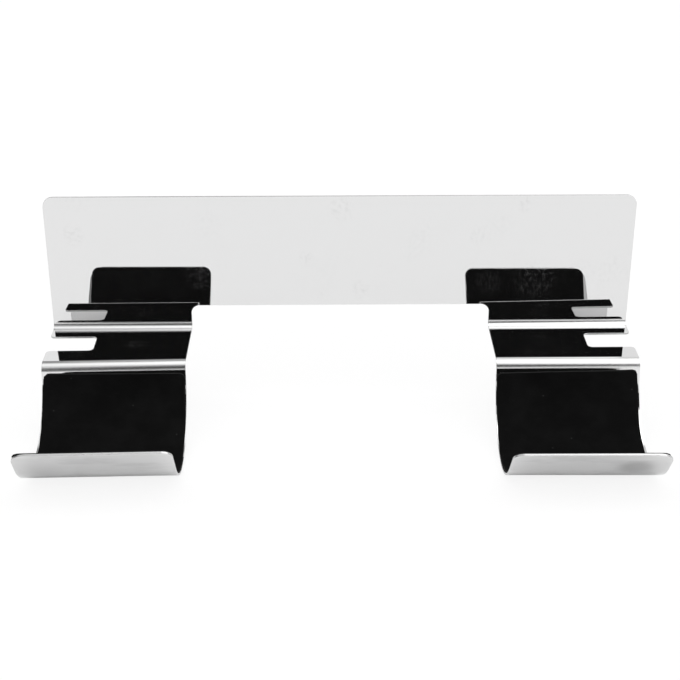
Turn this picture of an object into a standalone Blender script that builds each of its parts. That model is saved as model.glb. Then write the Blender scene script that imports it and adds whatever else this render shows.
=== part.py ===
"""Wall-mounted hair tool holder, bent from one sheet of mirror-polished steel.

Each arm leaves the back plate's lower edge, bends forward into a shelf with a
cord slot, bends down again and sweeps round into a wide cradle that ends in a
raised lip. A soft pad lines each cradle, and strips of clear gel tape behind
the plate hold the holder on the wall.

Frame, in metres: origin at the centre of the middle tape strip's wall face,
+X along the plate, +Z up. The wall is the plane Y = 0 and the front faces -Y.
"""

import math

import bmesh
import bpy

# Sheet and back plate
SHEET_THICKNESS = 0.0010
PLATE_WIDTH = 0.3150
SPAN_HEIGHT = 0.0622        # top edge to the lower edge between the arms
PLATE_CORNER_RADIUS = 0.0056
SPAN_FILLET_RADIUS = 0.0045  # where the lower edge meets an arm

# Arms, measured from the plate's top edge and its front face
ARM_WIDTH = 0.0760
SHELF_DROP = 0.0758         # top edge down to the shelf's upper face
SHELF_REACH = 0.0440        # plate's front face to the cradle's back wall, inside face
ROOT_BEND_RADIUS = 0.0031   # on its inner side
FRONT_BEND_RADIUS = 0.0039  # on its inner side
CRADLE_RADIUS = 0.0360      # steel's inside face
LIP_ANGLE = math.radians(50.5)  # lip's slope above the horizontal
LIP_LENGTH = 0.0211         # straight run past the cradle's curve
LIP_OUTER_RADIUS = 0.0086
LIP_INNER_RADIUS = 0.0052
OUTER_DRAW = 0.0008         # how far an arm's outer side stands in at its front bend
OUTER_FLARE = 0.0010        # and how far out where the cradle ends
INNER_FLARE = 0.0006        # how far its inner side runs out along the cradle and lip
FLARE_RADIUS = 0.0300       # rounding where a side changes direction

# Cord slot, cut into the shelf from the arm's outer side
SLOT_SETBACK = 0.0114       # plate's front face to the slot's rear edge
SLOT_WIDTH = 0.0164
SLOT_LENGTH = 0.0254
SLOT_CORNER_RADIUS = 0.0026
SLOT_MOUTH_RADIUS = 0.0022

# Cradle pads
PAD_THICKNESS = 0.0006
PAD_SIDE_INSET = 0.0009     # pad's side edges in from the arm's edges
PAD_TOP_DROP = 0.0009       # below the front bend
PAD_LIP_INSET = 0.0013      # below the lip's top edge
PAD_TOP_RADIUS = 0.0032     # corners below the front bend
PAD_LIP_RADIUS = 0.0045     # corners below the lip's top edge

# Mounting tape
TAPE_COUNT = 5
TAPE_WIDTH = 0.0200
TAPE_THICKNESS = 0.0010
TAPE_END_MARGIN = 0.0040    # strip's ends in from the span's edges
TAPE_SIDE_MARGIN = 0.0100   # outermost strips in from the plate's sides

BOND_GAP = 0.0003           # glue line between the steel and what sticks to it

# Fineness of the facets
CORNER_STEP = math.radians(11.25)
BEND_STEP = math.radians(9.0)
CRADLE_STEP = math.radians(4.0)

# Where things lie
HALF_PLATE = PLATE_WIDTH / 2
ARM_INNER = HALF_PLATE - ARM_WIDTH
PLATE_FRONT = TAPE_THICKNESS + BOND_GAP + SHEET_THICKNESS  # ahead of the wall
TOP_EDGE = SPAN_HEIGHT / 2                                 # above the origin
DOWN = -math.pi / 2


class FoldPath:
    """Side view of the folded sheet, followed along its front face.

    A point is (distance ahead of the wall, height). The heading turns left at
    a concave bend and right at a convex one, and the front normal lies a
    quarter turn to the left of the heading.
    """

    def __init__(self, start, heading):
        self.end = start
        self.heading = heading
        self.length = 0.0
        self.runs = []

    def straight(self, length):
        self.runs.append((self.length, length, self.end, self.heading, 0.0))
        along = (math.cos(self.heading), math.sin(self.heading))
        self.end = (self.end[0] + along[0] * length, self.end[1] + along[1] * length)
        self.length += length

    def bend(self, radius, angle, step):
        """Turn by angle, positive to the left, with radius on the front face."""
        pieces = max(1, round(abs(angle) / step))
        turn = angle / pieces
        for _ in range(pieces):
            self.runs.append((self.length, radius * abs(turn), self.end, self.heading, turn))
            chord = 2 * radius * math.sin(abs(turn) / 2)
            direction = self.heading + turn / 2
            self.end = (self.end[0] + chord * math.cos(direction),
                        self.end[1] + chord * math.sin(direction))
            self.heading += turn
            self.length += radius * abs(turn)

    def place(self, distance, offset):
        """Point at a distance along the front face, offset ahead of that face."""
        run = self.runs[0]
        for candidate in self.runs:
            if candidate[0] <= distance + 1e-9:
                run = candidate
        start, length, origin, heading, turn = run
        share = (distance - start) / length
        if turn == 0.0:
            ahead = origin[0] + math.cos(heading) * (distance - start)
            up = origin[1] + math.sin(heading) * (distance - start)
            normal = heading + math.pi / 2
        else:
            radius = length / abs(turn)
            side = math.copysign(1.0, turn)
            centre = (origin[0] - side * radius * math.sin(heading),
                      origin[1] + side * radius * math.cos(heading))
            now = heading + turn * share
            ahead = centre[0] + side * radius * math.sin(now)
            up = centre[1] - side * radius * math.cos(now)
            normal = now + math.pi / 2
        return ahead + offset * math.cos(normal), up + offset * math.sin(normal)

    def fold_lines(self):
        """Distances where one run ends and the next begins."""
        return [run[0] for run in self.runs[1:]]


def side_profile():
    """The whole bent sheet, top edge to lip, and where its shelf and cradle start.

    The shelf starts where its face, run back under its bend, meets the plate's.
    """
    front_radius = FRONT_BEND_RADIUS + SHEET_THICKNESS
    path = FoldPath((PLATE_FRONT, TOP_EDGE), DOWN)
    path.straight(SHELF_DROP - ROOT_BEND_RADIUS)
    path.bend(ROOT_BEND_RADIUS, math.pi / 2, BEND_STEP)
    shelf_start = path.length - ROOT_BEND_RADIUS
    path.straight(SHELF_REACH - ROOT_BEND_RADIUS - front_radius)
    path.bend(front_radius, -math.pi / 2, BEND_STEP)
    cradle_start = path.length
    path.bend(CRADLE_RADIUS, math.pi / 2 + LIP_ANGLE, CRADLE_STEP)
    path.straight(LIP_LENGTH)
    return path, shelf_start, cradle_start


def rounded_outline(corners):
    """Outline through (x, distance, radius) corners, each radius as an arc."""
    points = []
    for index, (x, y, radius) in enumerate(corners):
        before = corners[index - 1]
        after = corners[(index + 1) % len(corners)]
        back = math.atan2(before[1] - y, before[0] - x)
        ahead = math.atan2(after[1] - y, after[0] - x)
        between = (ahead - back + math.pi) % (2 * math.pi) - math.pi
        reach = radius / math.tan(abs(between) / 2)
        towards = back + between / 2
        far = radius / math.sin(abs(between) / 2)
        centre = (x + far * math.cos(towards), y + far * math.sin(towards))
        start = (x + reach * math.cos(back), y + reach * math.sin(back))
        first = math.atan2(start[1] - centre[1], start[0] - centre[0])
        sweep = math.copysign(math.pi - abs(between), -between)
        steps = max(2, round(abs(sweep) / CORNER_STEP))
        for step in range(steps + 1):
            angle = first + sweep * step / steps
            points.append((centre[0] + radius * math.cos(angle),
                           centre[1] + radius * math.sin(angle)))
    return points


def bracket_outline(path, shelf_start, cradle_start):
    """Flat blank of the bracket as (x, distance from the top edge) points."""
    slot_rear = shelf_start + SLOT_SETBACK
    slot_front = slot_rear + SLOT_WIDTH
    slot_end = HALF_PLATE - SLOT_LENGTH
    bend_side = HALF_PLATE - OUTER_DRAW
    lip_start = path.length - LIP_LENGTH
    right_half = [
        (HALF_PLATE, 0.0, PLATE_CORNER_RADIUS),
        (HALF_PLATE, slot_rear, SLOT_MOUTH_RADIUS),
        (slot_end, slot_rear, SLOT_CORNER_RADIUS),
        (slot_end, slot_front, SLOT_CORNER_RADIUS),
        (bend_side, slot_front, SLOT_MOUTH_RADIUS),
        (bend_side, cradle_start, FLARE_RADIUS),
        (HALF_PLATE + OUTER_FLARE, lip_start, FLARE_RADIUS),
        (HALF_PLATE, path.length, LIP_OUTER_RADIUS),
        (ARM_INNER - INNER_FLARE, path.length, LIP_INNER_RADIUS),
        (ARM_INNER, cradle_start, FLARE_RADIUS),
        (ARM_INNER, SPAN_HEIGHT, SPAN_FILLET_RADIUS),
    ]
    left_half = [(-x, distance, radius) for x, distance, radius in reversed(right_half)]
    return rounded_outline(right_half + left_half)


def pad_outline(path, cradle_start, side):
    """Flat blank of the pad in the arm on one side, -1 left or +1 right."""
    top = cradle_start + PAD_TOP_DROP
    bottom = path.length - PAD_LIP_INSET
    inner = ARM_INNER + PAD_SIDE_INSET
    outer = HALF_PLATE - PAD_SIDE_INSET
    corners = [
        (side * inner, top, PAD_TOP_RADIUS),
        (side * (outer - OUTER_DRAW), top, PAD_TOP_RADIUS),
        (side * outer, bottom, PAD_LIP_RADIUS),
        (side * (inner - INNER_FLARE), bottom, PAD_LIP_RADIUS),
    ]
    return rounded_outline(corners)


def folded_sheet(name, outline, path, front, thickness, material):
    """Cut a flat blank, give it its thickness, and fold it along the path.

    front is how far the blank's front face lies ahead of the steel's.
    """
    sheet = bmesh.new()
    face = sheet.faces.new([sheet.verts.new((x, distance, front)) for x, distance in outline])
    raised = bmesh.ops.extrude_face_region(sheet, geom=[face])
    lifted = [item for item in raised["geom"] if isinstance(item, bmesh.types.BMVert)]
    bmesh.ops.translate(sheet, verts=lifted, vec=(0.0, 0.0, -thickness))
    for distance in path.fold_lines():
        everything = sheet.verts[:] + sheet.edges[:] + sheet.faces[:]
        bmesh.ops.bisect_plane(sheet, geom=everything, dist=1e-7,
                               plane_co=(0.0, distance, 0.0), plane_no=(0.0, 1.0, 0.0))
    bmesh.ops.triangulate(sheet, faces=sheet.faces[:])
    for vertex in sheet.verts:
        ahead, up = path.place(vertex.co.y, vertex.co.z)
        vertex.co = (vertex.co.x, -ahead, up)
    if sheet.calc_volume(signed=True) < 0.0:
        bmesh.ops.reverse_faces(sheet, faces=sheet.faces[:])
    return add_object(name, sheet, material)


def tape_strip(name, centre_x, material):
    """One strip of gel tape between the wall and the plate's back."""
    length = SPAN_HEIGHT - 2 * TAPE_END_MARGIN
    strip = bmesh.new()
    bmesh.ops.create_cube(strip, size=1.0)
    bmesh.ops.scale(strip, vec=(TAPE_WIDTH, TAPE_THICKNESS, length), verts=strip.verts[:])
    bmesh.ops.translate(strip, vec=(centre_x, -TAPE_THICKNESS / 2, 0.0), verts=strip.verts[:])
    return add_object(name, strip, material)


def add_object(name, shape, material):
    mesh = bpy.data.meshes.new(name)
    shape.to_mesh(mesh)
    shape.free()
    mesh.materials.append(material)
    mesh.shade_smooth()
    mesh.set_sharp_from_angle(angle=math.radians(30.0))
    thing = bpy.data.objects.new(name, mesh)
    bpy.context.scene.collection.objects.link(thing)
    return thing


def make_material(name, color, metallic, roughness):
    material = bpy.data.materials.new(name)
    material.use_nodes = True
    shader = material.node_tree.nodes["Principled BSDF"]
    shader.inputs["Base Color"].default_value = (*color, 1.0)
    shader.inputs["Metallic"].default_value = metallic
    shader.inputs["Roughness"].default_value = roughness
    return material


def main():
    for thing in list(bpy.data.objects):
        bpy.data.objects.remove(thing)

    steel = make_material("polished_steel", (0.70, 0.70, 0.71), 1.0, 0.04)
    foam = make_material("black_foam", (0.008, 0.008, 0.009), 0.0, 0.85)
    gel = make_material("clear_gel", (0.86, 0.87, 0.88), 0.0, 0.25)

    path, shelf_start, cradle_start = side_profile()
    folded_sheet("bracket", bracket_outline(path, shelf_start, cradle_start), path,
                 0.0, SHEET_THICKNESS, steel)
    for side, word in ((-1, "left"), (1, "right")):
        folded_sheet("cradle_pad_" + word, pad_outline(path, cradle_start, side), path,
                     BOND_GAP + PAD_THICKNESS, PAD_THICKNESS, foam)

    outermost = HALF_PLATE - TAPE_SIDE_MARGIN - TAPE_WIDTH / 2
    for index in range(TAPE_COUNT):
        share = index / (TAPE_COUNT - 1)
        tape_strip(f"mounting_tape_{index + 1}", outermost * (2 * share - 1), gel)


main()
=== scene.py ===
"""Looks of the wall-mounted hair tool holder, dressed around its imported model.

The bracket and the cradle pads are folded again from their flat blanks, with finer
bends, rounded cut edges and the small strays of sheet that is bent by hand. The
pads become soft black foam and the tape strips become clear gel.

Frame, in metres: +X along the plate, +Z up. The wall is the plane Y = 0 and
the front faces -Y.
"""

import math

import bmesh
import bpy
from mathutils import Matrix, Vector

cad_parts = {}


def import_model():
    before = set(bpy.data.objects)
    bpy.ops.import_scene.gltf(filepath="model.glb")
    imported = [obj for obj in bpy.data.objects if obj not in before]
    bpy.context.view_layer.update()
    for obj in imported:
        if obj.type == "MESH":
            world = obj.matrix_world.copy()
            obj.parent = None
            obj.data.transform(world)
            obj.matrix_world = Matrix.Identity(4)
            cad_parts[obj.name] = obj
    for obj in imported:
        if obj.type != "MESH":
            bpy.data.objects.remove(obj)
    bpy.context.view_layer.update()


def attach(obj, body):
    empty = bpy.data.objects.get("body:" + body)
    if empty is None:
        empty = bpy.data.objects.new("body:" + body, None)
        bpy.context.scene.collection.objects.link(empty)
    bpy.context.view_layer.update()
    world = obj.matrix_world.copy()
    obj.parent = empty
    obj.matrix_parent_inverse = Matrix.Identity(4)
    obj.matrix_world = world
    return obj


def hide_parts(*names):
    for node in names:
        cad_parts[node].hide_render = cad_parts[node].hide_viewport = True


# Sheet and back plate
SHEET_THICKNESS = 0.0010
PLATE_WIDTH = 0.3150
SPAN_HEIGHT = 0.0622
PLATE_CORNER_RADIUS = 0.0056
SPAN_FILLET_RADIUS = 0.0045

# Arms, measured from the plate's top edge and its front face
ARM_WIDTH = 0.0760
SHELF_DROP = 0.0758
SHELF_REACH = 0.0440
ROOT_BEND_RADIUS = 0.0031   # on its inner side
FRONT_BEND_RADIUS = 0.0039  # on its inner side
CRADLE_RADIUS = 0.0360
LIP_ANGLE = math.radians(50.5)
LIP_LENGTH = 0.0211
LIP_OUTER_RADIUS = 0.0086
LIP_INNER_RADIUS = 0.0052
OUTER_DRAW = 0.0008         # how far an arm's outer side stands in at its front bend
OUTER_FLARE = 0.0010        # and how far out where the cradle ends
INNER_FLARE = 0.0006        # how far its inner side runs out along the cradle and lip
FLARE_RADIUS = 0.0300

# Cord slot
SLOT_SETBACK = 0.0114
SLOT_WIDTH = 0.0164
SLOT_LENGTH = 0.0254
SLOT_CORNER_RADIUS = 0.0026
SLOT_MOUTH_RADIUS = 0.0022

# Cradle pads, stuck on by hand, so each top edge runs a little askew
PAD_FACE = 0.0007           # its face above the steel
PAD_THICKNESS = PAD_FACE * 0.96  # so its back stays just clear of the steel
PAD_INNER_INSET = 0.0002
PAD_OUTER_INSETS = {        # from the plate's side: at the top, a little below and at the lip
    "left": (0.0019, 0.0007, 0.0005),
    "right": (0.0022, 0.0011, 0.0010),
}
PAD_OUTER_KINK = 0.0095     # how far below the cradle's start the second of those three is
PAD_LIP_INSETS = {"left": 0.0005, "right": 0.0008}  # from the lip's rim
PAD_TOP_RADIUS = 0.0032
PAD_LIP_RADIUS = 0.0045
PAD_TOP_DROPS = {           # below the cradle's start: inner end, outer end
    "left": (0.0010, 0.0000),
    "right": (0.0016, 0.0003),
}

# How the pads' edges waver where they were cut by hand
PAD_EDGE_WAVER = 0.00020    # size of it all
LONG_WAVE = (190.0, 90.0)   # radians in a metre along the edge, and across the holder
SHORT_WAVE = (410.0, 160.0)  # and along the edge, and down the blank
SHORT_WAVE_SIZE = 0.7       # next to the long one
WAVES_SIZE = 0.6            # both, as a share of the waver
WAVES_INSET = 0.8           # how far in they lie, as a share of it
END_WAVER = 0.4             # how much of it reaches the pad's ends
SIDE_WAVER = 0.6            # and how much more its sides

# Mounting tape
TAPE_COUNT = 5
TAPE_WIDTH = 0.0200
TAPE_THICKNESS = 0.0010
TAPE_END_MARGIN = 0.0040
TAPE_SIDE_MARGIN = 0.0100
TAPE_CORNER_RADIUS = 0.0007
TAPE_SHARP_ANGLE = math.radians(40.0)

BOND_GAP = 0.0003

# How an arm strays from its sizes, as bends made by hand do, along its inner side and
# then along its outer side: the lengths of plate and shelf, then what is added to the
# degrees of the root bend (90), the front bend (-90) and the cradle (140.5)
STRAYS = {
    "left": ((-0.0008, -0.0012, -2.3, 4.2, -0.6), (-0.0007, -0.0003, -3.1, 6.2, -2.1)),
    "right": ((-0.0010, -0.0016, -3.3, 6.3, -4.1), (-0.0013, 0.0000, -2.6, 2.8, -0.8)),
}

# Rounding of the cut edges
SHEET_EDGE_RADIUS = 0.00010
PAD_EDGE_RADIUS = 0.00022
TAPE_EDGE_RADIUS = 0.00035

# Fineness
CORNER_STEP = math.radians(7.5)
BEND_STEP = math.radians(3.0)
CRADLE_STEP = math.radians(1.5)
EDGE_STEPS = 4
PAD_POINT_SPACING = 0.0015
TAPE_POINT_SPACING = 0.002
SAME_LENGTH = 1e-9          # lengths of sheet that differ by less are the same
SAME_PLACE = 1e-7           # and points that lie closer

# Where things lie
HALF_PLATE = PLATE_WIDTH / 2
ARM_INNER = HALF_PLATE - ARM_WIDTH
PLATE_FRONT = TAPE_THICKNESS + BOND_GAP + SHEET_THICKNESS
TOP_EDGE = SPAN_HEIGHT / 2
FLOOR_HEIGHT = -0.0875
FLOOR_REACH = 8.0
DOWN = -math.pi / 2

# Camera
CAMERA_PLACE = (-0.0071, -0.6687, 0.2494)
CAMERA_TILT = math.radians(90.0 - 24.36)
CAMERA_TURN = math.radians(-0.593)
CAMERA_ROLL = math.radians(-0.063)
LENS_MM = 69.88
CLIP_START = 0.01

# Studio
OPENING_DISTANCE = 0.72     # the dim opening that the camera looks through
OPENING_CORNERS = (         # x, height and rounding, narrower towards its top
    (-0.385, 0.035, 0.060), (0.404, 0.035, 0.060), (0.404, 0.450, 0.060),
    (0.185, 0.820, 0.080), (-0.200, 0.860, 0.080), (-0.385, 0.600, 0.060),
)
OPENING_LEVELS = (0.21, 0.65)  # its brightness left and right
OPENING_SLOPE = (-0.12, 0.30)  # the x where that changes
CORE_LEAD = 0.01            # its dark middle, around the camera, stands this far before it
CORE_CORNERS = (
    (-0.380, 0.150, 0.020), (0.400, 0.110, 0.020),
    (0.390, 0.460, 0.040), (-0.370, 0.410, 0.040),
)
CORE_LEVEL = 0.0035
CARD_DISTANCE = -1.0        # a bright card behind, to the left
CARD_CORNERS = ((-0.900, 0.250), (-0.300, 0.250), (-0.300, 0.650), (-0.900, 0.650))
CARD_LEVEL = 1.07
TENT_PEAK = 1.96            # brightness of the tent where a stop below is 1
TENT_STOPS = (              # share of the half turn from front to back, share of the peak
    (0.00, 0.38), (0.08, 0.40), (0.11, 0.70), (0.33, 0.66), (0.42, 1.00),
    (0.53, 0.98), (0.60, 0.27), (0.66, 0.30), (0.85, 0.36), (1.00, 0.50),
)
HALFWAY = 0.5               # where a new stop stands before it gets its own place
TENT_SIDE_GAIN = 0.1        # brighter towards +X
TENT_SIDE_GLINT = 1.9       # and more so in reflections
TENT_SIDE_LEAST = 0.6       # the least and the most that this makes of it
TENT_SIDE_MOST = 1.5
FLOOR_COLOR = 0.92
FLOOR_ROUGHNESS = 0.9
FLOOR_LIFT_SEEN = 0.85      # how much of the floor's light is its own, to the camera
FLOOR_LIFT_MIRRORED = 0.0   # and in a mirror, where only the light that falls on it shows

# Finger marks on the steel, each a place, a radius and a strength
FINGER_MARKS = (
    (0.000, -0.0023, 0.0235, 0.0095, 1.0), (-0.018, -0.0023, -0.0040, 0.0060, 1.0),
    (0.074, -0.0023, 0.0085, 0.0065, 1.0), (0.098, -0.0023, 0.0260, 0.0060, 1.0),
    (-0.143, -0.0023, 0.0095, 0.0080, 1.0), (0.011, -0.0023, -0.0220, 0.0070, 1.0),
    (-0.077, -0.0023, -0.0140, 0.0115, 1.0), (0.080, -0.0023, -0.0187, 0.0110, 0.9),
    (0.106, -0.0023, -0.0180, 0.0170, 1.0), (-0.1107, -0.0225, -0.0447, 0.0075, 0.8),
    (0.110, -0.0200, -0.0447, 0.0075, 0.5),
)
DULL_PATCH = (0.1417, -0.1135, -0.0699, 0.0120, 1.0)  # low on the right lip
# Painted shade on the lips' outer ends, darkening the brighter reflection there
LIP_ENDS_PAINTED_SHADE = (               # the lips' outer ends
    (-0.157, -0.1120, -0.0720, 0.0260, 1.0), (0.157, -0.1120, -0.0720, 0.0200, 1.0),
)
MARK_CORE = 0.3             # share of a mark's radius that has its full strength

# Steel
BARE_STEEL = (0.703, 0.703, 0.704)
SMUDGED_STEEL = (0.668, 0.668, 0.669)
# painted light: the lips' steel is lighter so that their reflection shows brighter
PAINTED_BRIGHT_LIP_STEEL = (0.762, 0.762, 0.763)
WIPED_STEEL = (0.670, 0.670, 0.671)
# painted shade: darker steel for the lips' outer ends
PAINTED_SHADE_STEEL = (0.630, 0.630, 0.631)
DULL_STEEL = (0.480, 0.480, 0.481)
CUT_STEEL = (0.45, 0.45, 0.45)
HAZE_NOISE = (38.0, 3.0)    # scale and detail
HAZE_RANGE = (0.50, 0.72)   # the noise where the haze starts, and where it is full
HAZE_MOST = 0.5
GRAIN_NOISE = (420.0, 3.0, 0.7)  # scale, detail, roughness
GRAIN_RANGE = (0.42, 0.66)
WIPED_NOISE = (75.0, 3.0, 0.6, (0.45, 1.0, 1.6))  # and how it is squeezed along each axis
WIPED_RANGE = (0.46, 0.70)
METALLIC = (0.9975, 0.974)  # clean, smudged
DUST = (140.0, 0.05, 0.42)  # scale, size, commonness
DUST_METALLIC = 0.12        # how much less metallic it is
POLISH = (0.012, 0.040)     # roughness, clean and smudged
WIPED_POLISH = 0.06         # roughness that wiped streaks and the dull patch add
SATIN = 0.26                # that the cut edges add
CUT_RANGE = (0.1, 0.9)      # the share of a cut edge where that starts, and where it is full
BENT_SATIN = 0.23           # roughness that the bends add

# Where a look of its own sets in on the lips and bends, and where it is full: the lips' painted
# lighter steel and wipe streaks, the bends' added roughness
LIP_Y = (-0.100, -0.108)           # coming from the cradle
FRONT_BEND_Y = (-0.0415, -0.0425)  # from the shelf
FRONT_BEND_Z = (-0.0510, -0.0490)  # from the cradle
ROOT_BEND_Y = (-0.0060, -0.0050)   # from the shelf
ROOT_BEND_Z = (-0.0400, -0.0410)   # from the plate

# Foam
FOAM = (0.0027, 0.0027, 0.0027)
LINTY_FOAM = (0.019, 0.019, 0.019)
# painted highlight along the foam's cut edges
FOAM_EDGE_HIGHLIGHT = (0.040, 0.040, 0.040)
LINT_SPECKS = (150.0, 0.09, 0.47)
LINT_NOISE = (70.0, 4.0, 0.65)
LINT_RANGE = (0.35, 0.75)
LINT_MOST = 0.13
EDGE_HIGHLIGHT_START = (0.15, 0.5)   # the share of a cut edge where its painted highlight sets in
EDGE_HIGHLIGHT_END = (0.75, 0.97)    # and where it ends
FOAM_PORES = 2600.0
FOAM_BUMP = (0.00006, 0.5)  # height and strength

# Gel
GEL = (0.80, 0.81, 0.82)
CLOUDY_GEL = (0.95, 0.955, 0.96)
BUBBLES = (520.0, 0.10, 0.26)  # scale, core, size
CLOUD_NOISE = (150.0, 3.0)
CLOUD_RANGE = (0.35, 0.7)
CLOUD_MOST = 0.6
GEL_WAVES = 300.0
GEL_BUMP = (0.0001, 0.4)

# Specks of dust and lint
SPECK_CORE = 0.4            # share of a speck's size that is full
SPECK_AREAS = 0.45          # scale of the areas that have specks, next to the specks' own
SPECK_FADE = 0.02           # how soft those areas' borders are

# The sockets of a Mix node that carry colours
MIX_FIRST = 6
MIX_SECOND = 7
MIX_RESULT = 2


class Run:
    """A straight or evenly bent stretch of the side view, on from a path's end."""

    def __init__(self, path, length, turn=0.0, stretch=1.0):
        self.start = path.length
        self.origin = path.end
        self.heading = path.heading
        self.length = length
        self.turn = turn
        self.stretch = stretch

    def at(self, distance):
        """How far ahead and up the front face lies at a distance, and its heading."""
        past = distance - self.start
        if self.turn == 0.0:
            ahead = self.origin[0] + math.cos(self.heading) * past * self.stretch
            up = self.origin[1] + math.sin(self.heading) * past * self.stretch
            return ahead, up, self.heading
        radius = self.length / abs(self.turn)
        side = math.copysign(1.0, self.turn)
        heading = self.heading + self.turn * past / self.length
        ahead = self.origin[0] + side * radius * (math.sin(heading) - math.sin(self.heading))
        up = self.origin[1] - side * radius * (math.cos(heading) - math.cos(self.heading))
        return ahead, up, heading


class FoldPath:
    """Side view of the folded sheet, followed along its front face."""

    def __init__(self, start, heading):
        self.end = start
        self.heading = heading
        self.length = 0.0
        self.runs = []

    def straight(self, length, stray=0.0):
        """Go straight on for the length, which the stray stretches."""
        stretch = 1.0 + stray / length
        self.runs.append(Run(self, length, stretch=stretch))
        reach = length * stretch
        self.end = (self.end[0] + math.cos(self.heading) * reach,
                    self.end[1] + math.sin(self.heading) * reach)
        self.length += length

    def bend(self, radius, angle, step, stray):
        """Turn by angle, positive to the left, with radius on the front face.

        The bend strays from the angle over the same length of sheet.
        """
        pieces = max(1, round(abs(angle) / step))
        length = radius * abs(angle) / pieces
        turn = (angle + math.radians(stray)) / pieces
        for _ in range(pieces):
            self.runs.append(Run(self, length, turn=turn))
            chord = 2 * length / abs(turn) * math.sin(abs(turn) / 2)
            direction = self.heading + turn / 2
            self.end = (self.end[0] + chord * math.cos(direction),
                        self.end[1] + chord * math.sin(direction))
            self.heading += turn
            self.length += length

    def fold(self, flat, normal):
        """A point and its normal on the flat blank, carried round the bends."""
        x, distance, offset = flat
        run = self.runs[0]
        for candidate in self.runs:
            if candidate.start <= distance + SAME_LENGTH:
                run = candidate
        ahead, up, heading = run.at(distance)
        along = Vector((0.0, -math.cos(heading), math.sin(heading)))
        front = Vector((0.0, math.sin(heading), math.cos(heading)))
        place = Vector((x, -ahead, up)) + front * offset
        facing = Vector((normal[0], 0.0, 0.0)) + along * normal[1] + front * normal[2]
        return place, facing.normalized()

    def fold_lines(self):
        """How far along the sheet each run meets the next."""
        return [run.start for run in self.runs[1:]]


def side_profile(plate_stray=0.0, shelf_stray=0.0,
                 root_stray=0.0, front_stray=0.0, cradle_stray=0.0):
    """The whole bent sheet, top edge to lip, and where its shelf and cradle start.

    The shelf starts where its face, run back under its bend, meets the plate's.
    """
    front_radius = FRONT_BEND_RADIUS + SHEET_THICKNESS
    path = FoldPath((PLATE_FRONT, TOP_EDGE), DOWN)
    path.straight(SPAN_HEIGHT + SPAN_FILLET_RADIUS)
    path.straight(SHELF_DROP - ROOT_BEND_RADIUS - path.length, plate_stray)
    path.bend(ROOT_BEND_RADIUS, math.pi / 2, BEND_STEP, root_stray)
    shelf_start = path.length - ROOT_BEND_RADIUS
    path.straight(SHELF_REACH - ROOT_BEND_RADIUS - front_radius, shelf_stray)
    path.bend(front_radius, -math.pi / 2, BEND_STEP, front_stray)
    cradle_start = path.length
    path.bend(CRADLE_RADIUS, math.pi / 2 + LIP_ANGLE, CRADLE_STEP, cradle_stray)
    path.straight(LIP_LENGTH)
    return path, shelf_start, cradle_start


class HandBentSheet:
    """The sheet as bent by hand, with side views of its own along each arm's sides."""

    def __init__(self):
        self.sides = {word: [side_profile(*strays)[0] for strays in pair]
                      for word, pair in STRAYS.items()}

    def fold_lines(self):
        """How far along the sheet each run meets the next, the same on every side."""
        return self.sides["left"][0].fold_lines()

    def fold(self, flat, normal):
        """A point and its normal, folded as it lies between the arm's two sides."""
        inner, outer = self.sides["left" if flat[0] < 0.0 else "right"]
        share = (abs(flat[0]) - ARM_INNER) / ARM_WIDTH
        place, facing = inner.fold(flat, normal)
        outer_place, outer_facing = outer.fold(flat, normal)
        slope = (outer_place - place) * math.copysign(1.0 / ARM_WIDTH, flat[0])
        place = place.lerp(outer_place, share)
        facing = facing.lerp(outer_facing, share)
        facing.x -= slope.dot(facing)
        return place, facing.normalized()


def rounded_outline(corners):
    """Outline through (x, y, radius) corners, as points with outward normals.

    The corners run counter-clockwise and each one is rounded.
    """
    outline = []
    for index, (x, y, radius) in enumerate(corners):
        before = corners[index - 1]
        after = corners[(index + 1) % len(corners)]
        back = math.atan2(before[1] - y, before[0] - x)
        ahead = math.atan2(after[1] - y, after[0] - x)
        between = (ahead - back + math.pi) % (2 * math.pi) - math.pi
        reach = radius / math.tan(abs(between) / 2)
        towards = back + between / 2
        far = radius / math.sin(abs(between) / 2)
        centre = (x + far * math.cos(towards), y + far * math.sin(towards))
        start = (x + reach * math.cos(back), y + reach * math.sin(back))
        first = math.atan2(start[1] - centre[1], start[0] - centre[0])
        sweep = math.copysign(math.pi - abs(between), -between)
        outward = math.copysign(1.0, sweep)
        steps = max(2, round(abs(sweep) / CORNER_STEP))
        for step in range(steps + 1):
            angle = first + sweep * step / steps
            unit = (math.cos(angle), math.sin(angle))
            outline.append(((centre[0] + radius * unit[0], centre[1] + radius * unit[1]),
                            (outward * unit[0], outward * unit[1])))
    return outline


def mirrored(corners):
    """The corners on the other side of X = 0, still counter-clockwise."""
    return [(-x, distance, radius) for x, distance, radius in reversed(corners)]


def bracket_outline(path, shelf_start, cradle_start):
    """The bracket's blank: x, and how far down the front face from the top edge."""
    slot_rear = shelf_start + SLOT_SETBACK
    slot_front = slot_rear + SLOT_WIDTH
    slot_end = HALF_PLATE - SLOT_LENGTH
    bend_side = HALF_PLATE - OUTER_DRAW
    lip_start = path.length - LIP_LENGTH
    right_half = [
        (HALF_PLATE, 0.0, PLATE_CORNER_RADIUS),
        (HALF_PLATE, slot_rear, SLOT_MOUTH_RADIUS),
        (slot_end, slot_rear, SLOT_CORNER_RADIUS),
        (slot_end, slot_front, SLOT_CORNER_RADIUS),
        (bend_side, slot_front, SLOT_MOUTH_RADIUS),
        (bend_side, cradle_start, FLARE_RADIUS),
        (HALF_PLATE + OUTER_FLARE, lip_start, FLARE_RADIUS),
        (HALF_PLATE, path.length, LIP_OUTER_RADIUS),
        (ARM_INNER - INNER_FLARE, path.length, LIP_INNER_RADIUS),
        (ARM_INNER, cradle_start, FLARE_RADIUS),
        (ARM_INNER, SPAN_HEIGHT, SPAN_FILLET_RADIUS),
    ]
    return rounded_outline(right_half + mirrored(right_half))


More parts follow.
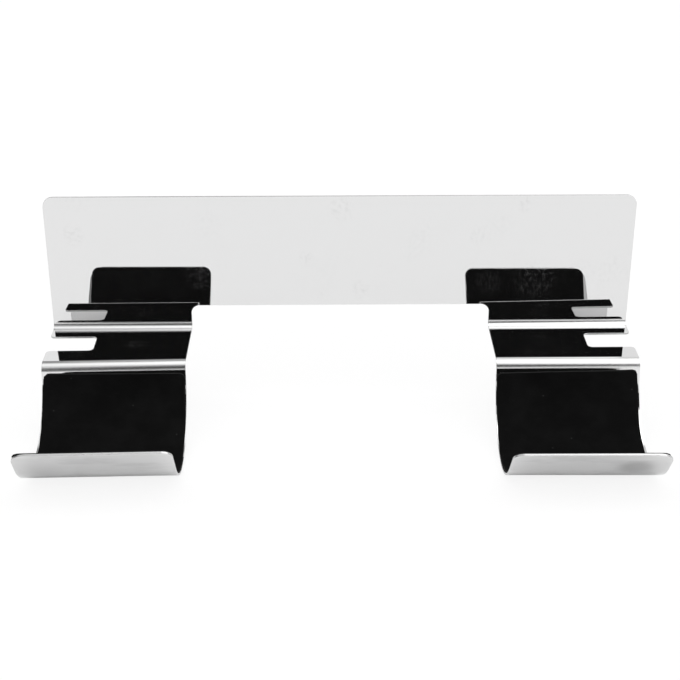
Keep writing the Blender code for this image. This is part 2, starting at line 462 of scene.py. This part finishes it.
def pad_outline(path, cradle_start, word):
    """The pad's blank, its top edge askew and its cut edges wavering a little."""
    inner_drop, outer_drop = PAD_TOP_DROPS[word]
    bottom = path.length - PAD_LIP_INSETS[word]
    inner = ARM_INNER + PAD_INNER_INSET
    outer_top, outer_kink, outer_bottom = (HALF_PLATE - inset
                                           for inset in PAD_OUTER_INSETS[word])
    corners = [
        (inner, cradle_start + inner_drop, PAD_TOP_RADIUS),
        (outer_top, cradle_start + outer_drop, PAD_TOP_RADIUS),
        (outer_kink, cradle_start + PAD_OUTER_KINK, FLARE_RADIUS),
        (outer_bottom, bottom, PAD_LIP_RADIUS),
        (inner - INNER_FLARE, bottom, PAD_LIP_RADIUS),
    ]
    if word == "left":
        corners = mirrored(corners)
    return wavered(subdivided(rounded_outline(corners), PAD_POINT_SPACING))


def subdivided(outline, spacing):
    """More points along the straight parts of an outline."""
    points = []
    for index, (point, normal) in enumerate(outline):
        points.append((point, normal))
        after, _ = outline[(index + 1) % len(outline)]
        run = math.dist(point, after)
        count = int(run / spacing)
        for step in range(1, count):
            share = step / count
            between = (point[0] + (after[0] - point[0]) * share,
                       point[1] + (after[1] - point[1]) * share)
            points.append((between, normal))
    return points


def wavered(outline):
    """The outline pushed in and out as a hand-cut edge runs."""
    pushed = []
    for (x, y), normal in outline:
        along = x * normal[1] - y * normal[0]
        wave = (math.sin(along * LONG_WAVE[0] + x * LONG_WAVE[1])
                + SHORT_WAVE_SIZE * math.sin(along * SHORT_WAVE[0] + y * SHORT_WAVE[1]))
        share = END_WAVER + SIDE_WAVER * abs(normal[0])
        push = PAD_EDGE_WAVER * (WAVES_SIZE * wave - WAVES_INSET) * share
        pushed.append(((x + normal[0] * push, y + normal[1] * push), normal))
    return pushed


def sheet_rings(outline, front, thickness, edge_radius):
    """Rings of flat points and normals from the front face round to the back."""
    rings = []
    for half, top in ((1.0, front - edge_radius), (-1.0, front - thickness + edge_radius)):
        for step in range(EDGE_STEPS + 1):
            share = step / EDGE_STEPS
            tilt = math.pi / 2 * (1.0 - share if half > 0 else share)
            inset = edge_radius * (1.0 - math.cos(tilt))
            offset = top + half * edge_radius * math.sin(tilt)
            ring = []
            for (x, y), (out_x, out_y) in outline:
                place = (x - out_x * inset, y - out_y * inset, offset)
                normal = (out_x * math.cos(tilt), out_y * math.cos(tilt), half * math.sin(tilt))
                ring.append((place, normal))
            rings.append(ring)
    return rings


def add_skin(mesh, rings):
    """Faces over the rings' vertices, from the front face round to the back."""
    mesh.faces.new(rings[0])
    mesh.faces.new(reversed(rings[-1]))
    count = len(rings[0])
    for upper, lower in zip(rings, rings[1:]):
        for index in range(count):
            after = (index + 1) % count
            mesh.faces.new((upper[index], lower[index], lower[after], upper[after]))


def folded_sheet(name, outline, bent, front, thickness, edge_radius, material):
    """A flat blank with rounded edges, divided at its fold lines and then bent."""
    sheet = bmesh.new()
    flat_normal = sheet.verts.layers.float_vector.new("flat_normal")
    rings = []
    for ring in sheet_rings(outline, front, thickness, edge_radius):
        row = []
        for place, normal in ring:
            vertex = sheet.verts.new(place)
            vertex[flat_normal] = normal
            row.append(vertex)
        rings.append(row)
    add_skin(sheet, rings)
    for distance in bent.fold_lines():
        everything = sheet.verts[:] + sheet.edges[:] + sheet.faces[:]
        bmesh.ops.bisect_plane(sheet, geom=everything, dist=SAME_PLACE,
                               plane_co=(0.0, distance, 0.0), plane_no=(0.0, 1.0, 0.0))
    bmesh.ops.triangulate(sheet, faces=sheet.faces[:])
    normals = []
    cut_shares = []
    for vertex in sheet.verts:
        flat = Vector(vertex[flat_normal]).normalized()
        vertex.co, normal = bent.fold(vertex.co, flat)
        normals.append(normal)
        cut_shares.append(1.0 - flat.z * flat.z)
    if sheet.calc_volume(signed=True) < 0.0:
        bmesh.ops.reverse_faces(sheet, faces=sheet.faces[:])
    mesh = bpy.data.meshes.new(name)
    sheet.to_mesh(mesh)
    sheet.free()
    mesh.attributes.remove(mesh.attributes["flat_normal"])
    cut_edge = mesh.attributes.new("cut_edge", "FLOAT", "POINT")
    cut_edge.data.foreach_set("value", cut_shares)
    mesh.shade_smooth()
    mesh.normals_split_custom_set_from_vertices(normals)
    return new_piece(name, mesh, material)


def tape_strip(name, centre_x, material):
    """A gel strip with soft edges, pressed flat between the plate and the wall."""
    right = TAPE_WIDTH / 2
    top = SPAN_HEIGHT / 2 - TAPE_END_MARGIN
    corners = [(-right, -top, TAPE_CORNER_RADIUS), (right, -top, TAPE_CORNER_RADIUS),
               (right, top, TAPE_CORNER_RADIUS), (-right, top, TAPE_CORNER_RADIUS)]
    outline = subdivided(rounded_outline(corners), TAPE_POINT_SPACING)
    strip = bmesh.new()
    rings = []
    for ring in sheet_rings(outline, 0.0, TAPE_THICKNESS + BOND_GAP, TAPE_EDGE_RADIUS):
        row = []
        for (x, up, depth), _ in ring:
            row.append(strip.verts.new((centre_x + x, depth, up)))
        rings.append(row)
    add_skin(strip, rings)
    bmesh.ops.recalc_face_normals(strip, faces=strip.faces[:])
    mesh = bpy.data.meshes.new(name)
    strip.to_mesh(mesh)
    strip.free()
    mesh.shade_smooth()
    mesh.set_sharp_from_angle(angle=TAPE_SHARP_ANGLE)
    return new_piece(name, mesh, material)


def new_piece(name, mesh, material):
    """The mesh as a piece of the holder, fixed to its root."""
    mesh.materials.append(material)
    piece = bpy.data.objects.new(name, mesh)
    bpy.context.scene.collection.objects.link(piece)
    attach(piece, "root")
    return piece


def calculate(tree, operation, *values):
    """The result of a sum in the node tree, over numbers and sockets."""
    made = tree.nodes.new("ShaderNodeMath")
    made.operation = operation
    for value, socket in zip(values, made.inputs):
        if isinstance(value, (int, float)):
            socket.default_value = value
        else:
            tree.links.new(value, socket)
    return made.outputs["Value"]


class Recipe:
    """A procedural material, put together from nodes."""

    def __init__(self, name):
        self.material = bpy.data.materials.new(name)
        self.material.use_nodes = True
        self.tree = self.material.node_tree
        self.shader = self.tree.nodes["Principled BSDF"]
        self.output = self.tree.nodes["Material Output"]
        self.place = self.tree.nodes.new("ShaderNodeTexCoord").outputs["Object"]

    def set(self, **values):
        """Gives the shader's inputs their values, with _ for a space in a name."""
        for name, value in values.items():
            self.shader.inputs[name.replace("_", " ")].default_value = value

    def link(self, source, target):
        self.tree.links.new(source, target)

    def node(self, kind, **settings):
        made = self.tree.nodes.new(kind)
        for name, value in settings.items():
            setattr(made, name, value)
        return made

    def noise(self, scale, detail=2.0, roughness=0.5, stretch=(1.0, 1.0, 1.0)):
        """Noise over the object, scaled along each of its axes."""
        mapping = self.node("ShaderNodeMapping")
        mapping.inputs["Scale"].default_value = stretch
        self.link(self.place, mapping.inputs["Vector"])
        texture = self.node("ShaderNodeTexNoise")
        texture.inputs["Scale"].default_value = scale
        texture.inputs["Detail"].default_value = detail
        texture.inputs["Roughness"].default_value = roughness
        self.link(mapping.outputs["Vector"], texture.inputs["Vector"])
        return texture.outputs["Fac"]

    def spread(self, source, low, high, to_low=0.0, to_high=1.0):
        """Smoothly maps the source's range from low to high onto another."""
        mapped = self.node("ShaderNodeMapRange", interpolation_type="SMOOTHSTEP")
        self.link(source, mapped.inputs["Value"])
        mapped.inputs["From Min"].default_value = low
        mapped.inputs["From Max"].default_value = high
        mapped.inputs["To Min"].default_value = to_low
        mapped.inputs["To Max"].default_value = to_high
        return mapped.outputs["Result"]

    def math(self, operation, first, second):
        return calculate(self.tree, operation, first, second)

    def axes(self):
        """The object's own X, Y and Z at each point."""
        made = self.node("ShaderNodeSeparateXYZ")
        self.link(self.place, made.inputs["Vector"])
        return made.outputs

    def blend(self, share, first, second):
        """Colour between first and second, each a colour or another socket."""
        made = self.node("ShaderNodeMix", data_type="RGBA")
        self.link(share, made.inputs["Factor"])
        for value, socket in ((first, made.inputs[MIX_FIRST]),
                              (second, made.inputs[MIX_SECOND])):
            if isinstance(value, tuple):
                socket.default_value = (*value, 1.0)
            else:
                self.link(value, socket)
        return made.outputs[MIX_RESULT]

    def patch(self, mark):
        """The mark's strength around its place, fading to 0 at its radius."""
        apart = self.node("ShaderNodeVectorMath", operation="DISTANCE")
        self.link(self.place, apart.inputs[0])
        apart.inputs[1].default_value = mark[:3]
        radius, strength = mark[3:]
        return self.spread(apart.outputs["Value"], radius * MARK_CORE, radius, strength, 0.0)

    def dots(self, scale, core, size):
        """1 in the core of each small dot, fading to 0 at its size."""
        cells = self.node("ShaderNodeTexVoronoi", feature="F1")
        cells.inputs["Scale"].default_value = scale
        self.link(self.place, cells.inputs["Vector"])
        return self.spread(cells.outputs["Distance"], core, size, 1.0, 0.0)

    def specks(self, scale, size, commonness):
        """Small dots that are left out wherever a coarser noise is low."""
        dots = self.dots(scale, size * SPECK_CORE, size)
        coarse = self.noise(scale * SPECK_AREAS, detail=1.0)
        where = self.spread(coarse, 1.0 - commonness, 1.0 + SPECK_FADE - commonness)
        return self.math("MULTIPLY", dots, where)

    def cut_edge(self):
        """1 on the sheet's cut edge, 0 on its faces."""
        return self.node("ShaderNodeAttribute", attribute_name="cut_edge").outputs["Fac"]

    def bump(self, height, distance, strength):
        """Makes the surface uneven, up to the distance where the height is 1."""
        made = self.node("ShaderNodeBump")
        made.inputs["Distance"].default_value = distance
        made.inputs["Strength"].default_value = strength
        self.link(height, made.inputs["Height"])
        self.link(made.outputs["Normal"], self.shader.inputs["Normal"])


def smudges(steel):
    """Finger marks and patches of faint haze, both broken up by a fine grain."""
    touched = steel.patch(FINGER_MARKS[0])
    for mark in FINGER_MARKS[1:]:
        touched = steel.math("MAXIMUM", touched, steel.patch(mark))
    haze = steel.spread(steel.noise(*HAZE_NOISE), *HAZE_RANGE, 0.0, HAZE_MOST)
    grain = steel.spread(steel.noise(*GRAIN_NOISE), *GRAIN_RANGE)
    return steel.math("MULTIPLY", steel.math("MAXIMUM", haze, touched), grain)


def bends(steel, y, z):
    """1 on the root bends and the front bends, 0 elsewhere."""
    front = steel.math("MULTIPLY", steel.spread(y, *FRONT_BEND_Y),
                       steel.spread(z, *FRONT_BEND_Z))
    root = steel.math("MULTIPLY", steel.spread(y, *ROOT_BEND_Y), steel.spread(z, *ROOT_BEND_Z))
    return steel.math("ADD", front, root)


def polished_steel():
    """Mirror finish, smudged and wiped, softer on the bends and satin where it was cut. The
    lips are painted lighter, a painted brighter reflection, and their outer ends get painted
    shade.
    """
    steel = Recipe("mirror_steel")
    edge = steel.cut_edge()
    smudge = smudges(steel)
    _, y, z = steel.axes()
    on_lip = steel.spread(y, *LIP_Y)
    wiped = steel.spread(steel.noise(*WIPED_NOISE), *WIPED_RANGE)
    streak = steel.math("MULTIPLY", on_lip, wiped)
    dull = steel.patch(DULL_PATCH)

    tint = steel.blend(smudge, BARE_STEEL, SMUDGED_STEEL)
    # painted light: lighter steel on the lips, a painted brighter reflection
    tint = steel.blend(on_lip, tint, PAINTED_BRIGHT_LIP_STEEL)
    tint = steel.blend(streak, tint, WIPED_STEEL)
    # painted shade darkens the lips' outer ends
    for mark in LIP_ENDS_PAINTED_SHADE:
        tint = steel.blend(steel.patch(mark), tint, PAINTED_SHADE_STEEL)
    tint = steel.blend(dull, tint, DULL_STEEL)
    tint = steel.blend(edge, tint, CUT_STEEL)
    steel.link(tint, steel.shader.inputs["Base Color"])

    dust = steel.math("MULTIPLY", steel.specks(*DUST), DUST_METALLIC)
    metallic = steel.math("SUBTRACT", steel.spread(smudge, 0.0, 1.0, *METALLIC), dust)
    steel.link(metallic, steel.shader.inputs["Metallic"])

    rubbed = steel.spread(steel.math("MAXIMUM", streak, dull), 0.0, 1.0, 0.0, WIPED_POLISH)
    polish = steel.math("ADD", steel.spread(smudge, 0.0, 1.0, *POLISH), rubbed)
    bent = steel.math("MULTIPLY", bends(steel, y, z), BENT_SATIN)
    satin = steel.spread(edge, *CUT_RANGE, 0.0, SATIN)
    polish = steel.math("ADD", steel.math("ADD", polish, bent), satin)
    steel.link(polish, steel.shader.inputs["Roughness"])
    return steel.material


def black_foam():
    """Matte foam with fine pores, a few specks of lint and a painted highlight along its edges.
    """
    foam = Recipe("matte_foam")
    foam.set(Roughness=0.9, Specular_IOR_Level=0.05)
    lint = foam.specks(*LINT_SPECKS)
    cloud = foam.spread(foam.noise(*LINT_NOISE), *LINT_RANGE, 0.0, LINT_MOST)
    face = foam.blend(foam.math("ADD", lint, cloud), FOAM, LINTY_FOAM)
    cut = foam.cut_edge()
    # painted highlight: a lighter line along the cut edges, where their rounding catches the
    # light
    edge_highlight = foam.math("MULTIPLY", foam.spread(cut, *EDGE_HIGHLIGHT_START),
                      foam.spread(cut, *EDGE_HIGHLIGHT_END, 1.0, 0.0))
    foam.link(foam.blend(edge_highlight, face, FOAM_EDGE_HIGHLIGHT), foam.shader.inputs["Base Color"])
    foam.bump(foam.noise(FOAM_PORES), *FOAM_BUMP)
    return foam.material


def clear_gel():
    """Clear sticky gel, a little cloudy, with small trapped bubbles."""
    gel = Recipe("cloudy_gel")
    gel.set(Roughness=0.22, IOR=1.44, Alpha=0.55, Specular_IOR_Level=0.5)
    bubbles = gel.dots(*BUBBLES)
    cloud = gel.spread(gel.noise(*CLOUD_NOISE), *CLOUD_RANGE, 0.0, CLOUD_MOST)
    share = gel.math("MAXIMUM", bubbles, cloud)
    gel.link(gel.blend(share, GEL, CLOUDY_GEL), gel.shader.inputs["Base Color"])
    gel.bump(gel.noise(GEL_WAVES), *GEL_BUMP)
    return gel.material


def pale_floor():
    """White floor that keeps the shadow. Where it shows, part of its light is its own."""
    floor = Recipe("pale_floor")
    floor.set(Base_Color=(FLOOR_COLOR, FLOOR_COLOR, FLOOR_COLOR, 1.0),
              Roughness=FLOOR_ROUGHNESS, Specular_IOR_Level=0.0)
    path = floor.node("ShaderNodeLightPath")
    mirrored_ray = floor.math("MAXIMUM", path.outputs["Is Glossy Ray"],
                              path.outputs["Is Transmission Ray"])
    lift = floor.math("ADD",
                      floor.math("MULTIPLY", path.outputs["Is Camera Ray"], FLOOR_LIFT_SEEN),
                      floor.math("MULTIPLY", mirrored_ray, FLOOR_LIFT_MIRRORED))
    glow = floor.node("ShaderNodeEmission")
    glow.inputs["Strength"].default_value = 1.0
    mix = floor.node("ShaderNodeMixShader")
    floor.link(lift, mix.inputs["Fac"])
    floor.link(floor.shader.outputs["BSDF"], mix.inputs[1])
    floor.link(glow.outputs["Emission"], mix.inputs[2])
    floor.link(mix.outputs["Shader"], floor.output.inputs["Surface"])
    return floor.material


def stage_plate(name, corners, material):
    """A flat stage piece through the given corners."""
    mesh = bpy.data.meshes.new(name)
    mesh.from_pydata(corners, [], [range(len(corners))])
    mesh.materials.append(material)
    plate = bpy.data.objects.new(name, mesh)
    bpy.context.scene.collection.objects.link(plate)
    return plate


def add_camera():
    """The camera, placed and turned as it was for the photo."""
    camera = bpy.data.objects.new("camera", bpy.data.cameras.new("camera"))
    camera.data.lens = LENS_MM
    camera.data.clip_start = CLIP_START
    camera.matrix_world = (Matrix.Translation(CAMERA_PLACE)
                           @ Matrix.Rotation(CAMERA_TURN, 4, "Z")
                           @ Matrix.Rotation(CAMERA_TILT, 4, "X")
                           @ Matrix.Rotation(CAMERA_ROLL, 4, "Z"))
    bpy.context.scene.collection.objects.link(camera)
    bpy.context.scene.camera = camera


def add_floor():
    far = FLOOR_REACH
    corners = [(-far, -far, FLOOR_HEIGHT), (far, -far, FLOOR_HEIGHT),
               (far, far, FLOOR_HEIGHT), (-far, far, FLOOR_HEIGHT)]
    stage_plate("floor", corners, pale_floor())


def add_cards():
    """The light tent's opening, its dark middle and a bright card, seen in mirrors alone."""
    opening = [point for point, _ in rounded_outline(OPENING_CORNERS)]
    core = [point for point, _ in rounded_outline(CORE_CORNERS)]
    cards = [
        ("back_card", CARD_DISTANCE, CARD_CORNERS, (CARD_LEVEL, CARD_LEVEL)),
        ("dim_opening", OPENING_DISTANCE, opening, OPENING_LEVELS),
        ("dark_core", OPENING_DISTANCE - CORE_LEAD, core, (CORE_LEVEL, CORE_LEVEL)),
    ]
    for name, distance, points, levels in cards:
        recipe = Recipe(name)
        recipe.set(Base_Color=(0.0, 0.0, 0.0, 1.0), Roughness=1.0, Specular_IOR_Level=0.0,
                   Emission_Color=(1.0, 1.0, 1.0, 1.0))
        level = recipe.spread(recipe.axes()["X"], *OPENING_SLOPE, *levels)
        recipe.link(level, recipe.shader.inputs["Emission Strength"])
        card = stage_plate(name, [(x, -distance, z) for x, z in points], recipe.material)
        card.visible_camera = False
        card.visible_diffuse = False
        card.visible_shadow = False
        card.visible_transmission = False


def add_world():
    """A light tent, brightest overhead and dim behind, and white to the camera."""
    world = bpy.data.worlds.new("light_tent")
    world.use_nodes = True
    tree = world.node_tree
    background = tree.nodes["Background"]
    direction = tree.nodes.new("ShaderNodeSeparateXYZ")
    coordinates = tree.nodes.new("ShaderNodeTexCoord")
    tree.links.new(coordinates.outputs["Generated"], direction.inputs["Vector"])

    ahead = calculate(tree, "MULTIPLY", direction.outputs["Y"], -1.0)
    turn = calculate(tree, "ARCTAN2", direction.outputs["Z"], ahead)
    ramp = tree.nodes.new("ShaderNodeValToRGB")
    tree.links.new(calculate(tree, "DIVIDE", turn, math.pi), ramp.inputs["Fac"])
    stops = ramp.color_ramp.elements
    while len(stops) < len(TENT_STOPS):
        stops.new(HALFWAY)
    for stop, (position, level) in zip(stops, TENT_STOPS):
        stop.position = position
        stop.color = (level, level, level, 1.0)

    light_path = tree.nodes.new("ShaderNodeLightPath")
    steepness = calculate(tree, "MULTIPLY_ADD", light_path.outputs["Is Glossy Ray"],
                          TENT_SIDE_GLINT, TENT_SIDE_GAIN)
    slant = calculate(tree, "MULTIPLY_ADD", direction.outputs["X"], steepness, 1.0)
    gain = calculate(tree, "MINIMUM", slant, TENT_SIDE_MOST)
    gain = calculate(tree, "MAXIMUM", gain, TENT_SIDE_LEAST)
    tent = calculate(tree, "MULTIPLY", ramp.outputs["Color"], gain)

    seen = light_path.outputs["Is Camera Ray"]
    white = calculate(tree, "MULTIPLY", seen, 1.0 / TENT_PEAK)
    unseen = calculate(tree, "SUBTRACT", 1.0, seen)
    shade = calculate(tree, "MULTIPLY", tent, unseen)
    tree.links.new(calculate(tree, "ADD", white, shade), background.inputs["Color"])
    background.inputs["Strength"].default_value = TENT_PEAK
    bpy.context.scene.world = world


def main():
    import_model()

    add_camera()
    add_world()
    add_floor()
    add_cards()

    steel = polished_steel()
    foam = black_foam()
    gel = clear_gel()

    path, shelf_start, cradle_start = side_profile()
    bent = HandBentSheet()
    blank = bracket_outline(path, shelf_start, cradle_start)
    bracket = folded_sheet("bracket_polished", blank, bent,
                           0.0, SHEET_THICKNESS, SHEET_EDGE_RADIUS, steel)
    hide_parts("bracket")

    for word in ("left", "right"):
        blank = pad_outline(path, cradle_start, word)
        liner = folded_sheet("foam_liner_" + word, blank, bent,
                             PAD_FACE, PAD_THICKNESS, PAD_EDGE_RADIUS, foam)
        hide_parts("cradle_pad_" + word)

    outermost = HALF_PLATE - TAPE_SIDE_MARGIN - TAPE_WIDTH / 2
    for index in range(TAPE_COUNT):
        share = index / (TAPE_COUNT - 1)
        strip = tape_strip(f"gel_strip_{index + 1}", outermost * (2 * share - 1), gel)
        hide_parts(f"mounting_tape_{index + 1}")

    bpy.context.scene.view_settings.view_transform = "Standard"


main()
